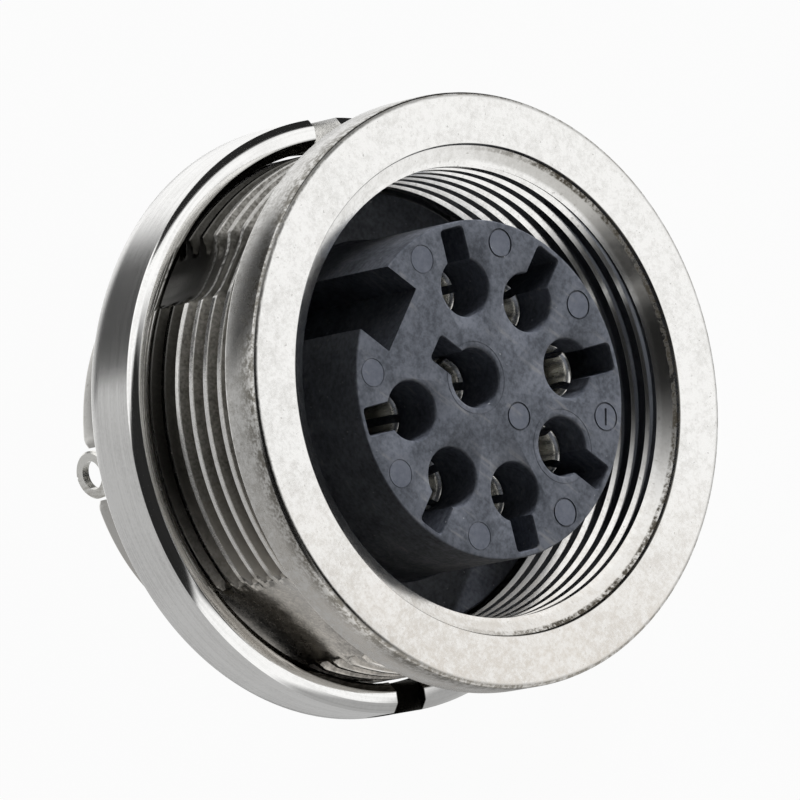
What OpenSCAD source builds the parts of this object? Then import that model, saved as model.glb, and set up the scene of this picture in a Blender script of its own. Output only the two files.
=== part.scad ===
// Round threaded panel socket: a flanged metal shell, a ring nut behind the panel,
// and an insulating carrier with one spring contact near the centre and the rest on a ring.
// Millimetres. +Z is up through the key, the front faces -Y, and the origin lies on the axis
// in the plane where the flange meets the panel. Both threads are drawn as plain cylinders.

/* [Flange] */
// Width of the flange's rim outside the panel thread
flange_rim = 1.05; // [0.9:0.05:3]
// Thickness of the flange, front face to panel
flange_t = 1.6; // [1.2:0.1:2.4]
// Broken edge around the front of the flange
flange_break = 0.25; // [0.05:0.05:0.4]

/* [Panel thread] */
// Outside diameter of the thread that the ring nut runs on
panel_thread_d = 17.9; // [17.5:0.05:18.3]
// Length of the threaded barrel behind the panel plane
panel_thread_len = 8; // [7.4:0.1:11]
// Chamfer at the rear end of the thread
thread_chamfer = 0.35; // [0.15:0.05:0.6]
// Depth of the two flats that stop the shell turning in its hole
flat_depth = 0.35; // [0.2:0.05:0.5]

/* [Keyway groove] */
// Width of the groove along the barrel, in line with the key
groove_w = 2.7; // [1.5:0.1:3.5]
// Depth of the groove at its rear end
groove_depth = 0.65; // [0.3:0.05:0.7]
// Where the groove reaches its full depth, measured from the panel plane
groove_full = 6.3; // [4.2:0.05:6.8]
// Diameter of the cutter that runs the groove out towards the flange
groove_cutter_d = 36; // [8:0.5:42]

/* [Mating thread] */
// Wall of the barrel between the panel thread and the thread for the plug's collar
barrel_wall = 1.35; // [1.2:0.05:1.6]
// Depth of that bore behind the flange's front face
mating_bore_len = 7; // [6.2:0.1:7.6]
// Bevel around the mouth of the bore
mouth_bevel = 0.65; // [0.3:0.05:0.9]

/* [Step and rear sleeve] */
// Width of the step inside the bore that both insulators clamp
step_ledge = 1.6; // [1.3:0.05:1.8]
// Thickness of that step
step_t = 1.2; // [0.8:0.1:1.6]
// How far the sleeve behind the thread lies below the thread
sleeve_drop = 1.7; // [1.2:0.05:1.9]
// Wall of the sleeve
sleeve_wall = 0.9; // [0.6:0.05:1]
// Length of the sleeve behind the thread
sleeve_len = 3.3; // [2.8:0.1:5]
// Broken edge around the end of the sleeve
sleeve_break = 0.15; // [0.05:0.05:0.3]
// Number of notches in the end of the sleeve
notch_count = 4; // [2:2:4]
// Width of a notch
notch_w = 2.2; // [1.4:0.1:3]
// Depth of a notch
notch_depth = 1.8; // [1.4:0.1:2.4]

/* [Contact carrier] */
// Room around the carrier's nose for the plug's collar
collar_room = 1.9; // [1.6:0.05:2]
// How far the nose's face lies behind the flange's front face
nose_setback = 0; // [0:0.1:0.8]
// Broken edge around the nose's face
nose_break = 0.12; // [0.05:0.01:0.3]
// Thickness of the foot at the bottom of the bore
foot_t = 1.2; // [0.8:0.1:1.8]
// Gap between the foot and the bore
foot_clear = 0.12; // [0.05:0.01:0.2]
// Gap between the carrier's neck and the step
neck_clear = 0.1; // [0.05:0.01:0.2]
// Width of the key slot
key_w = 2.5; // [2:0.1:2.8]
// Depth of the key slot below the nose's side
key_depth = 1.5; // [1:0.1:1.7]

/* [Contact openings] */
// Diameter of the circle that the outer contacts stand on
pitch_d = 7; // [6.8:0.1:7.4]
// Angle between neighbouring contacts on the ring
pitch_angle = 45; // [44:0.5:45]
// How far the middle contact lies from the axis, towards the key
middle_offset = 0.7; // [0:0.1:0.9]
// Gap around a contact in its hole
hole_clear = 0.06; // [0.04:0.01:0.1]
// Bevel around the mouth of a hole
hole_break = 0.12; // [0.05:0.01:0.15]
// Width of the slot that leads outwards from each hole
slot_w = 0.95; // [0.7:0.05:1.1]
// Depth of that slot
slot_depth = 4.5; // [3:0.1:5]
// Wall left between a slot's end and the side of the nose
slot_wall = 0.2; // [0.15:0.05:0.5]
// Length of the middle contact's slot, from its axis
middle_slot_len = 1.9; // [1.4:0.1:2.1]

/* [Contacts] */
// Diameter of the pin that a contact takes
pin_d = 1.45; // [1.2:0.05:1.5]
// Gap around the pin before the fingers grip
pin_clear = 0.015; // [0.01:0.005:0.05]
// Wall of the contact's fingers
finger_wall = 0.2; // [0.15:0.01:0.25]
// How far the finger tips lie behind the nose's face
tip_setback = 1.2; // [0.6:0.1:1.8]
// Depth of the contact's own bore
socket_len = 4.6; // [4:0.1:5]
// Width of the slits between the fingers
slit_w = 0.22; // [0.1:0.01:0.25]
// Length of the slits
slit_len = 3; // [2:0.1:3.6]
// Diameter of the collar that both insulators trap
collar_d = 2.4; // [2.3:0.05:2.5]
// Thickness of that collar
collar_t = 0.8; // [0.5:0.1:1.2]
// Diameter of the shank that leaves the rear insulator
shank_d = 1.6; // [1.4:0.05:1.8]
// How far the round shank stands out before it turns flat
shank_out = 0.7; // [0.3:0.1:1.2]
// Width of the flat solder tag
tag_w = 1.2; // [0.9:0.05:1.3]
// Thickness of the solder tag
tag_t = 0.4; // [0.3:0.05:0.6]
// Distance from the rear insulator to the middle of the eyelet
eye_reach = 5.15; // [4:0.05:7]
// Outside diameter of the eyelet
eye_d = 1.66; // [1.5:0.02:1.9]
// Hole through the eyelet
eye_hole_d = 1; // [0.7:0.05:1.2]

/* [Rear insulator] */
// How far its rear face lies inside the end of the sleeve
rear_recess = 0.8; // [0.4:0.1:1.1]
// Gap around it in the sleeve and the notches
rear_clear = 0.06; // [0.04:0.01:0.1]
// Broken edge around its rear face
rear_break = 0.2; // [0.1:0.05:0.4]
// Gap around a collar in its pocket
pocket_clear = 0.05; // [0.03:0.01:0.08]

/* [Ring nut] */
// How far the nut's rim stands out beyond the flange
nut_proud = 0.1; // [0:0.05:1.5]
// Thickness of the nut
nut_t = 2.25; // [1.8:0.05:3]
// Room for the panel between flange and nut, as stored
panel_room = 4.8; // [2:0.1:5]
// Gap between the nut's bore and the panel thread
nut_clear = 0.1; // [0.05:0.01:0.15]
// Width of the bevel around the nut's outer edges, measured across its face
nut_bevel = 0.3; // [0.1:0.01:0.4]
// Depth of that bevel along the axis
nut_bevel_depth = 0.3; // [0.1:0.01:0.4]
// Lead-in bevel at the mouths of the nut's bore
nut_lead = 0.35; // [0.2:0.05:0.45]
// Width of the two spanner slots
nut_slot_w = 1.2; // [1:0.05:2]
// Depth of the spanner slots
nut_slot_depth = 1.7; // [0.8:0.05:1.75]
// Turn of the spanner slots from the horizontal, seen from the front
nut_slot_turn = 38; // [0:1:180]

/* [Hidden] */
$fn = 96;
over = 1;
key_angle = -90;
ring_count = 7;
finger_count = 4;
// Extra turn of each contact's slits, as the contacts happen to sit
slit_turns = [0, 73, 44, 2, 76, 69, 76, 30];

thread_r = panel_thread_d / 2;
flange_r = thread_r + flange_rim;
flat_x = thread_r - flat_depth;
bore_r = thread_r - barrel_wall;
mouth_r = bore_r + mouth_bevel;
step_r = bore_r - step_ledge;
sleeve_r = thread_r - sleeve_drop;
sleeve_bore_r = sleeve_r - sleeve_wall;

front_z = -flange_t;
bore_end = front_z + mating_bore_len;
step_end = bore_end + step_t;
sleeve_end = panel_thread_len + sleeve_len;
notch_floor = sleeve_end - notch_depth;

nose_z = front_z + nose_setback;
nose_r = bore_r - collar_room;
foot_r = bore_r - foot_clear;
foot_z = bore_end - foot_t;
neck_r = step_r - neck_clear;

socket_r = pin_d / 2 + pin_clear;
finger_r = socket_r + finger_wall;
hole_r = finger_r + hole_clear;
tip_z = nose_z + tip_setback;

rear_z = sleeve_end - rear_recess;
rear_r = sleeve_bore_r - rear_clear;
lug_r = sleeve_r - rear_clear;
lug_w = notch_w - 2 * rear_clear;
lug_z = notch_floor + rear_clear;

nut_r = flange_r + nut_proud;
nut_bore_r = thread_r + nut_clear;
nut_front = panel_room;
nut_rear = nut_front + nut_t;

// Pieces are drawn along their own axis, rear end up, and then laid with the front facing -Y
module lay() {
    rotate([-90, 0, 0])
        children();
}

// Angle of a ring contact about the axis, counted from the key
function ring_angle(i) = key_angle + 180 + (i - (ring_count + 1) / 2) * pitch_angle;

// Places children at a contact, with +X pointing the way its slot leads
module at_contact(i) {
    if (i <= ring_count)
        rotate([0, 0, ring_angle(i)])
            translate([pitch_d / 2, 0, 0])
                children();
    else
        rotate([0, 0, key_angle])
            translate([middle_offset, 0, 0])
                children();
}

module at_all_contacts() {
    for (i = [1 : ring_count + 1])
        at_contact(i)
            children();
}

// The two flats on the barrel, square to the key
module barrel_flats() {
    for (side = [0, 180])
        rotate([0, 0, side])
            translate([flat_x, -flange_r, 0])
                cube([flange_r, 2 * flange_r, panel_thread_len + over]);
}

// The keyway groove: straight at the rear, then the curve its cutter leaves
module barrel_groove() {
    floor_r = thread_r - groove_depth;
    cutter_r = groove_cutter_d / 2;
    rotate([0, 0, key_angle]) {
        translate([floor_r, -groove_w / 2, groove_full])
            cube([groove_depth + over, groove_w, panel_thread_len + over - groove_full]);
        intersection() {
            translate([floor_r + cutter_r, 0, groove_full])
                rotate([90, 0, 0])
                    cylinder(h = groove_w, r = cutter_r, center = true);
            translate([floor_r, -groove_w, 0])
                cube([groove_depth + over, 2 * groove_w, groove_full + over]);
        }
    }
}

// The notches in the end of the sleeve, halfway between key and flats
module sleeve_notches() {
    for (k = [0 : notch_count - 1])
        rotate([0, 0, key_angle + pitch_angle + k * 360 / notch_count])
            translate([sleeve_bore_r - over / 2, -notch_w / 2, notch_floor])
                cube([sleeve_wall + over, notch_w, notch_depth + over]);
}

// The shell, turned in one piece: flange, threaded barrel, inner step and rear sleeve
module shell_profile() {
    polygon([
        [mouth_r, front_z],
        [flange_r - flange_break, front_z],
        [flange_r, front_z + flange_break],
        [flange_r, 0],
        [thread_r, 0],
        [thread_r, panel_thread_len - thread_chamfer],
        [thread_r - thread_chamfer, panel_thread_len],
        [sleeve_r, panel_thread_len],
        [sleeve_r, sleeve_end - sleeve_break],
        [sleeve_r - sleeve_break, sleeve_end],
        [sleeve_bore_r, sleeve_end],
        [sleeve_bore_r, step_end],
        [step_r, step_end],
        [step_r, bore_end],
        [bore_r, bore_end],
        [bore_r, front_z + mouth_r - bore_r]
    ]);
}

module shell() {
    color("#b9b6ae")
        lay()
            difference() {
                rotate_extrude()
                    shell_profile();
                barrel_flats();
                barrel_groove();
                sleeve_notches();
            }
}

module nut_profile() {
    polygon([
        [nut_bore_r + nut_lead, nut_front],
        [nut_r - nut_bevel, nut_front],
        [nut_r, nut_front + nut_bevel_depth],
        [nut_r, nut_rear - nut_bevel_depth],
        [nut_r - nut_bevel, nut_rear],
        [nut_bore_r + nut_lead, nut_rear],
        [nut_bore_r, nut_rear - nut_lead],
        [nut_bore_r, nut_front + nut_lead]
    ]);
}

module ring_nut() {
    color("#d0cec8")
        lay()
            difference() {
                rotate_extrude()
                    nut_profile();
                rotate([0, 0, -nut_slot_turn])
                    translate([-nut_r - over, -nut_slot_w / 2, nut_front - over])
                        cube([2 * (nut_r + over), nut_slot_w, nut_slot_depth + over]);
            }
}

// One keyhole opening: a bevelled round hole and the slot that leads outwards from it
module keyhole(slot_len) {
    translate([0, 0, nose_z - over])
        cylinder(h = step_end - nose_z + 2 * over, r = hole_r);
    translate([0, 0, nose_z])
        cylinder(h = hole_break, r1 = hole_r + hole_break, r2 = hole_r);
    translate([0, -slot_w / 2, nose_z - over])
        cube([slot_len, slot_w, slot_depth + over]);
}

module all_keyholes() {
    for (i = [1 : ring_count])
        at_contact(i)
            keyhole(nose_r - slot_wall - pitch_d / 2);
    at_contact(ring_count + 1)
        keyhole(middle_slot_len);
}

// The carrier, moulded in one piece: nose, foot at the bottom of the bore, and neck in the step
module contact_carrier() {
    color("#2c2e33")
        lay()
            difference() {
                rotate_extrude()
                    polygon([
                        [0, nose_z],
                        [nose_r - nose_break, nose_z],
                        [nose_r, nose_z + nose_break],
                        [nose_r, foot_z],
                        [foot_r, foot_z],
                        [foot_r, bore_end],
                        [neck_r, bore_end],
                        [neck_r, step_end],
                        [0, step_end]
                    ]);
                all_keyholes();
                rotate([0, 0, key_angle])
                    translate([nose_r - key_depth, -key_w / 2, nose_z - over])
                        cube([key_depth + over, key_w, foot_z - nose_z + over]);
            }
}

module rear_insulator() {
    color("#24262a")
        lay()
            difference() {
                union() {
                    rotate_extrude()
                        polygon([
                            [0, step_end],
                            [rear_r, step_end],
                            [rear_r, rear_z - rear_break],
                            [rear_r - rear_break, rear_z],
                            [0, rear_z]
                        ]);
                    intersection() {
                        for (k = [0 : notch_count - 1])
                            rotate([0, 0, key_angle + pitch_angle + k * 360 / notch_count])
                                translate([rear_r - over, -lug_w / 2, lug_z])
                                    cube([sleeve_r, lug_w, rear_z - lug_z]);
                        translate([0, 0, lug_z])
                            cylinder(h = rear_z - lug_z, r = lug_r);
                    }
                }
                at_all_contacts() {
                    translate([0, 0, step_end - over])
                        cylinder(h = collar_t + over, r = collar_d / 2 + pocket_clear);
                    cylinder(h = rear_z + over, r = shank_d / 2 + pocket_clear);
                }
            }
}

// A spring contact: split socket in front, trapped collar, and a flat solder tag behind
module contact(i) {
    eye_z = rear_z + eye_reach;
    color("#c9c6ba")
        lay()
            at_contact(i)
                difference() {
                    union() {
                        translate([0, 0, tip_z])
                            cylinder(h = step_end - tip_z, r = finger_r);
                        translate([0, 0, step_end])
                            cylinder(h = collar_t, r = collar_d / 2);
                        translate([0, 0, step_end])
                            cylinder(h = rear_z + shank_out - step_end, r = shank_d / 2);
                        translate([-tag_t / 2, -tag_w / 2, rear_z])
                            cube([tag_t, tag_w, eye_reach]);
                        translate([0, 0, eye_z])
                            rotate([0, 90, 0])
                                cylinder(h = tag_t, r = eye_d / 2, center = true);
                    }
                    translate([0, 0, tip_z - over])
                        cylinder(h = socket_len + over, r = socket_r);
                    for (k = [0 : finger_count / 2 - 1])
                        rotate([0, 0, slit_turns[i - 1] + k * 360 / finger_count])
                            translate([-finger_r - over, -slit_w / 2, tip_z - over])
                                cube([2 * (finger_r + over), slit_w, slit_len + over]);
                    translate([0, 0, eye_z])
                        rotate([0, 90, 0])
                            cylinder(h = tag_t + over, r = eye_hole_d / 2, center = true);
                }
}

module contact_1() { contact(1); }
module contact_2() { contact(2); }
module contact_3() { contact(3); }
module contact_4() { contact(4); }
module contact_5() { contact(5); }
module contact_6() { contact(6); }
module contact_7() { contact(7); }
module contact_8() { contact(8); }

shell();
ring_nut();
contact_carrier();
rear_insulator();
contact_1();
contact_2();
contact_3();
contact_4();
contact_5();
contact_6();
contact_7();
contact_8();
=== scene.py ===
import math

import bmesh
import bpy
import numpy as np
from mathutils import Matrix, Vector


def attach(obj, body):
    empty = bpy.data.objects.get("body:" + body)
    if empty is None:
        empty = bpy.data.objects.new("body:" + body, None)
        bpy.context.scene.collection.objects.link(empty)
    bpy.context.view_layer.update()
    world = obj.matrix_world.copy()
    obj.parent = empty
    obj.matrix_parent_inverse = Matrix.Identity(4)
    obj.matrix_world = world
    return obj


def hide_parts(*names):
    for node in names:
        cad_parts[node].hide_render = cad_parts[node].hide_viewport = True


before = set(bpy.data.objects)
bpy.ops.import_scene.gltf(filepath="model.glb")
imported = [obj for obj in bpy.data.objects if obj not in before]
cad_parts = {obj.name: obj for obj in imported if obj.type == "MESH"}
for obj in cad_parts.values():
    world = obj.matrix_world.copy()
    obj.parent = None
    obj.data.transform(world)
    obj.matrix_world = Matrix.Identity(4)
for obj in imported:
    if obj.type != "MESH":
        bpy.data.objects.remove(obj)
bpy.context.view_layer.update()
mm = 0.001
print("frame loaded:", len(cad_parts), "CAD nodes")

# The axis runs along Y with the front at -Y. Angles are in degrees from the key (+Z),
# counter-clockwise as seen from the front. Lengths in the settings are millimetres.


# mesh helpers

def around(radius, angle, y):
    a = np.radians(angle)
    x = -np.asarray(radius, float) * np.sin(a)
    z = np.asarray(radius, float) * np.cos(a)
    return np.stack(np.broadcast_arrays(x, y, z), -1) * mm


def fromAxis(points, angle, offset, y):
    # outline points (outwards, sideways) set at an angle about the axis
    a = math.radians(angle)
    out = offset + points[..., 0]
    side = points[..., 1]
    x = -out * math.sin(a) - side * math.cos(a)
    z = out * math.cos(a) - side * math.sin(a)
    return np.stack(np.broadcast_arrays(x, y, z), -1) * mm


def newSkin():
    return {"verts": [], "faces": []}


def addGrid(skin, rows, wrap=False):
    first = len(skin["verts"])
    cols = len(rows[0])
    for row in rows:
        skin["verts"].extend(map(tuple, row))
    for j in range(len(rows) - 1):
        low = first + j * cols
        high = low + cols
        for i in range(cols if wrap else cols - 1):
            k = (i + 1) % cols
            skin["faces"].append((low + i, low + k, high + k, high + i))


def addFace(skin, points):
    first = len(skin["verts"])
    skin["verts"].extend(map(tuple, points))
    skin["faces"].append(tuple(range(first, first + len(points))))


def addPrism(skin, levels):
    # closed body through a stack of outlines with the same number of points
    addGrid(skin, levels, wrap=True)
    addFace(skin, levels[0][::-1])
    addFace(skin, levels[-1])


def revolve(skin, profile, angles):
    addGrid(skin, [around(r, angles, y) for r, y in profile])


def smooth(piece, sharpAngle):
    piece.data.shade_smooth()
    piece.data.set_sharp_from_angle(angle=math.radians(sharpAngle))


def toPiece(name, skin, weld=0.0008, sharpAngle=28):
    mesh = bpy.data.meshes.new(name)
    mesh.from_pydata(skin["verts"], [], skin["faces"])
    bm = bmesh.new()
    bm.from_mesh(mesh)
    bmesh.ops.remove_doubles(bm, verts=bm.verts, dist=weld * mm)
    bmesh.ops.dissolve_degenerate(bm, edges=bm.edges, dist=weld * mm * 0.5)
    bmesh.ops.recalc_face_normals(bm, faces=bm.faces)
    bm.to_mesh(mesh)
    bm.free()
    piece = bpy.data.objects.new(name, mesh)
    bpy.context.scene.collection.objects.link(piece)
    smooth(piece, sharpAngle)
    return piece


def cutAway(piece, name, skin):
    tool = toPiece(name, skin)
    cut = piece.modifiers.new(name, "BOOLEAN")
    cut.operation = "DIFFERENCE"
    cut.solver = "EXACT"
    cut.object = tool
    bpy.context.view_layer.update()
    deps = bpy.context.evaluated_depsgraph_get()
    made = bpy.data.meshes.new_from_object(piece.evaluated_get(deps))
    piece.modifiers.clear()
    piece.data = made
    bpy.data.objects.remove(tool)


# shader helpers

def newFinish(name):
    mat = bpy.data.materials.new(name)
    mat.use_nodes = True
    tree = mat.node_tree
    tree.nodes.clear()
    out = tree.nodes.new("ShaderNodeOutputMaterial")
    surface = tree.nodes.new("ShaderNodeBsdfPrincipled")
    tree.links.new(surface.outputs[0], out.inputs[0])
    return mat, tree, surface


def put(tree, kind, outlet=0, **values):
    node = tree.nodes.new("ShaderNode" + kind)
    for key, value in values.items():
        if key.startswith("in") and key[2:].isdigit():
            socket = node.inputs[int(key[2:])]
        elif key.replace("_", " ") in node.inputs:
            socket = node.inputs[key.replace("_", " ")]
        else:
            setattr(node, key, value)
            continue
        if isinstance(value, bpy.types.NodeSocket):
            tree.links.new(value, socket)
        else:
            socket.default_value = value
    return node.outputs[outlet]


def calc(tree, operation, a, b=0.0):
    return put(tree, "Math", operation=operation, in0=a, in1=b)


def blendOf(tree, *shares):
    # weighted sum of several values
    total = None
    for value, share in shares:
        part = calc(tree, "MULTIPLY", value, share)
        total = part if total is None else calc(tree, "ADD", total, part)
    return total


def ramp(tree, fac, stops):
    node = tree.nodes.new("ShaderNodeValToRGB")
    tree.links.new(fac, node.inputs[0])
    band = node.color_ramp.elements
    while len(band) < len(stops):
        band.new(0.5)
    for element, (at, colour) in zip(band, stops):
        element.position = at
        element.color = (*colour, 1)
    return node.outputs[0]


def grain(tree, vector, scale, detail=2.0, rough=0.5):
    return put(tree, "TexNoise", Vector=vector, Scale=scale, Detail=detail, Roughness=rough)


def spread(tree, value, low, high, toLow=0.0, toHigh=1.0):
    return put(tree, "MapRange", Value=value, From_Min=low, From_Max=high, To_Min=toLow, To_Max=toHigh)


def spreadMm(tree, value, span, toLow=0.0, toHigh=1.0):
    return spread(tree, value, span[0] * mm, span[1] * mm, toLow, toHigh)


def times(tree, first, *others):
    for value in others:
        first = calc(tree, "MULTIPLY", first, value)
    return first


def towards(tree, sides, direction):
    # distance from the axis in a direction (across, up), as seen from the front
    return blendOf(tree, (sides[0], direction[0]), (sides[2], direction[1]))


def mixColour(tree, fac, a, b):
    node = tree.nodes.new("ShaderNodeMix")
    node.data_type = "RGBA"
    for socket, value in ((node.inputs[0], fac), (node.inputs[6], a), (node.inputs[7], b)):
        if isinstance(value, bpy.types.NodeSocket):
            tree.links.new(value, socket)
        else:
            socket.default_value = (*value, 1)
    return node.outputs[2]


def turnedPlace(tree, place, wind):
    # distance from the axis, place along it and a little of the angle: lines run round the axis
    parts = put(tree, "SeparateXYZ", Vector=place).node.outputs
    squares = [calc(tree, "MULTIPLY", parts[i], parts[i]) for i in (0, 2)]
    radius = calc(tree, "SQRT", calc(tree, "ADD", *squares))
    angle = calc(tree, "ARCTAN2", parts[0], parts[2])
    return put(tree, "CombineXYZ", X=radius, Y=parts[1], Z=calc(tree, "MULTIPLY", angle, wind))


# nickel on the shell: fine sandy grain with cloudy patches, smoother in the bore
# pairs ending in R, X or Y are where a zone fades in, by radius, across or along the axis

shellNickel = dict(dark=(0.81, 0.80, 0.775), pale=(0.962, 0.955, 0.935), pit=(0.64, 0.63, 0.61),
                   grainScale=9000, patchScale=2600, cloudScale=520, pitScale=6200, pitFrom=(0.27, 0.32),
                   # panel thread and sleeve
                   threadR=(8.2, 8.35), threadY=(0.05, 0.30), rootR=(8.94, 8.90), upperX=(-0.6, 1.2),
                   filmAndShade=(0.26, 0.248, 0.22), filmDark=(0.13, 0.123, 0.108), filmHigh=(0.40, 0.388, 0.36),
                   filmOnCrest=0.0, filmAndShadeInRoot=1.0, filmUp=0.65, filmRough=0.5,
                   oilAndShade=(0.045, 0.043, 0.037), shadeUnderNut=0.85, shadeUnderNutY=(4.15, 4.40),
                   flatX=(8.44, 8.53), flatClean=0.65, flatShadeShare=0.88, flatShadeY=(1.5, 3.0), flatDrift=0.8,
                   grooveX=(1.45, 1.20), inGroove=0.8, grooveLines=0.9, lineHalf=(0.14, 0.07),
                   linesUntilY=(4.2, 3.4), sleeveR=(7.60, 7.50), sleeveY=(8.0, 8.2), sleeveFilm=0.5,
                   # flange
                   rimR=(9.93, 9.985), rimFilm=0.42, rimDirt=0.75, rimDirtR=(9.86, 9.90),
                   rimDirtY=(-0.75, -1.3), rimBrown=(0.14, 0.127, 0.10),
                   lowSide=(-0.84, -0.54), lowFrom=(2, 9), lowShadeTint=(0.77, 0.722, 0.66), lowShadeShare=0.62,
                   faceY=(-1.25, -1.35), innerEdge=(8.24, 0.04), outerEdge=(9.90, 0.09), edgeDirt=0.85,
                   # mouth and bore
                   mouthR=(8.28, 8.24), mouthY=(-1.20, -1.25), coneSide=(0.95, -0.3), coneFrom=(4.5, 7.5),
                   coneShadeRange=(0.12, 0.60), bandSide=(0.46, -0.89), bandFrom=(-1.5, 2.5), bandR=(8.05, 8.10),
                   leftFrom=(-1, -6), mouthDirt=0.95, mouthOil=(0.12, 0.105, 0.08), dirtRough=0.6,
                   boreY=(-1.52, -1.40), boreRough=0.18, boreBump=0.05,
                   roughLow=0.18, roughHigh=0.31, bump=0.25, bumpDepth=0.01)


def makeShellNickel(s):
    mat, tree, surface = newFinish("shellNickel")
    place = put(tree, "TexCoord", outlet=3)
    fine = grain(tree, place, s["grainScale"], 3, 0.6)
    patch = grain(tree, place, s["patchScale"], 3, 0.55)
    cloud = grain(tree, place, s["cloudScale"], 2, 0.5)
    tone = blendOf(tree, (fine, 0.38), (patch, 0.37), (cloud, 0.25))
    dots = blendOf(tree, (fine, 0.5), (patch, 0.5))
    base = ramp(tree, tone, [(0.38, s["dark"]), (0.54, s["pale"])])
    pits = spread(tree, grain(tree, place, s["pitScale"], 2, 0.5), *s["pitFrom"], 1.0, 0.0)
    base = mixColour(tree, pits, base, s["pit"])
    sides = put(tree, "SeparateXYZ", Vector=place).node.outputs
    across, along, up = sides
    radius = put(tree, "SeparateXYZ", Vector=turnedPlace(tree, place, 0.0))

    # the panel thread is darkened partly by a dull film and partly by painted shade, thickest in the roots;
    # on the crests the film is speckled and heavier towards +X, where its colour is lighter
    inThread = times(tree, spreadMm(tree, radius, s["threadR"]), spreadMm(tree, along, s["threadY"]))
    speckle = spread(tree, fine, 0.46, 0.66, s["filmOnCrest"], 0.3)
    crestFilm = calc(tree, "MAXIMUM", speckle, spreadMm(tree, across, s["upperX"], 0.0, s["filmUp"]))
    rootFilmAndShade = spreadMm(tree, radius, s["rootR"], 0.0, s["filmAndShadeInRoot"])
    worn = spread(tree, patch, 0.3, 0.7, 1.0, 0.9)
    onFlat = spreadMm(tree, calc(tree, "ABSOLUTE", across), s["flatX"])
    cleaned = spread(tree, onFlat, 0.0, 1.0, 1.0, 1 - s["flatClean"])
    filmAndShade = times(tree, inThread, calc(tree, "MAXIMUM", crestFilm, rootFilmAndShade), worn, cleaned)
    sandy = mixColour(tree, spreadMm(tree, across, s["upperX"]), s["filmAndShade"], s["filmHigh"])
    sandy = mixColour(tree, spread(tree, fine, 0.36, 0.62), s["filmDark"], sandy)
    base = mixColour(tree, filmAndShade, base, sandy)

    # painted shade in the colour of oil under the nut's front, on the flats (deepening towards the nut) and
    # in the groove
    shadeUnderNut = times(tree, inThread, spreadMm(tree, along, s["shadeUnderNutY"], 0.0, s["shadeUnderNut"]))
    base = mixColour(tree, shadeUnderNut, base, s["oilAndShade"])
    toNut = blendOf(tree, (along, 1.0), (cloud, s["flatDrift"] * mm))
    flatShade = times(tree, onFlat, inThread, spreadMm(tree, toNut, s["flatShadeY"], 0.0, s["flatShadeShare"]))
    base = mixColour(tree, flatShade, base, s["oilAndShade"])
    inGroove = spreadMm(tree, calc(tree, "ABSOLUTE", across), s["grooveX"], 0.0, s["inGroove"])
    inGroove = times(tree, inGroove, inThread, rootFilmAndShade)
    base = mixColour(tree, inGroove, base, s["oilAndShade"])

    # crests that the groove's cutter only touched show as pale lines across the painted groove shade
    angle = calc(tree, "ARCTAN2", calc(tree, "MULTIPLY", across, -1.0), up)
    winds = blendOf(tree, (along, 1 / (shellSize["pitch"] * mm)), (angle, 0.5 / math.pi))
    winds = calc(tree, "SUBTRACT", winds, shellSize["crestAt"] / shellSize["pitch"])
    winds = calc(tree, "SUBTRACT", winds, shellSize["crestAngle"] / 360)
    off = calc(tree, "ABSOLUTE", calc(tree, "SUBTRACT", winds, calc(tree, "ROUND", winds)))
    touched = times(tree, spread(tree, off, *s["lineHalf"], 0.0, s["grooveLines"]), inGroove,
                    spreadMm(tree, along, s["linesUntilY"]), spread(tree, fine, 0.35, 0.55))
    base = mixColour(tree, touched, base, s["pale"])
    onSleeve = times(tree, spreadMm(tree, radius, s["sleeveR"]),
                     spreadMm(tree, along, s["sleeveY"], 0.0, s["sleeveFilm"]))
    base = mixColour(tree, onSleeve, base, s["filmAndShade"])

    # the flange's rim is duller than its face and gritty towards the front
    onRim = times(tree, spreadMm(tree, radius, s["rimR"], 0.0, s["rimFilm"]),
                  spread(tree, dots, 0.40, 0.60, 1.3, 0.7))
    base = mixColour(tree, onRim, base, s["filmAndShade"])
    # painted shade: the shell is speckled darker and warmer towards its lower side
    low = times(tree, spreadMm(tree, towards(tree, sides, s["lowSide"]), s["lowFrom"], 0.0, s["lowShadeShare"]),
                spread(tree, dots, 0.40, 0.60, 1.45, 0.55))
    base = mixColour(tree, low, base, s["lowShadeTint"])
    rimDirt = times(tree, spreadMm(tree, along, s["rimDirtY"], 0.0, s["rimDirt"]),
                    spreadMm(tree, radius, s["rimDirtR"]), spread(tree, dots, 0.44, 0.56, 1.0, 0.1))
    base = mixColour(tree, rimDirt, base, s["rimBrown"])

    # painted shade in the film's colour at the upper right of the mouth's cone, and a speckled band down its
    # right side
    inside = spreadMm(tree, radius, s["mouthR"])
    inMouth = times(tree, inside, spreadMm(tree, along, s["mouthY"]))
    upRight = towards(tree, sides, s["coneSide"])
    coneShade = times(tree, inMouth, spreadMm(tree, upRight, s["coneFrom"], *s["coneShadeRange"]))
    base = mixColour(tree, coneShade, base, s["filmAndShade"])
    rightward = towards(tree, sides, s["bandSide"])
    band = times(tree, spreadMm(tree, radius, s["bandR"], 0.0, s["mouthDirt"]), inMouth,
                 spreadMm(tree, rightward, s["bandFrom"]), spread(tree, dots, 0.44, 0.58, 1.0, 0.2))
    base = mixColour(tree, band, base, s["mouthOil"])

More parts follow.
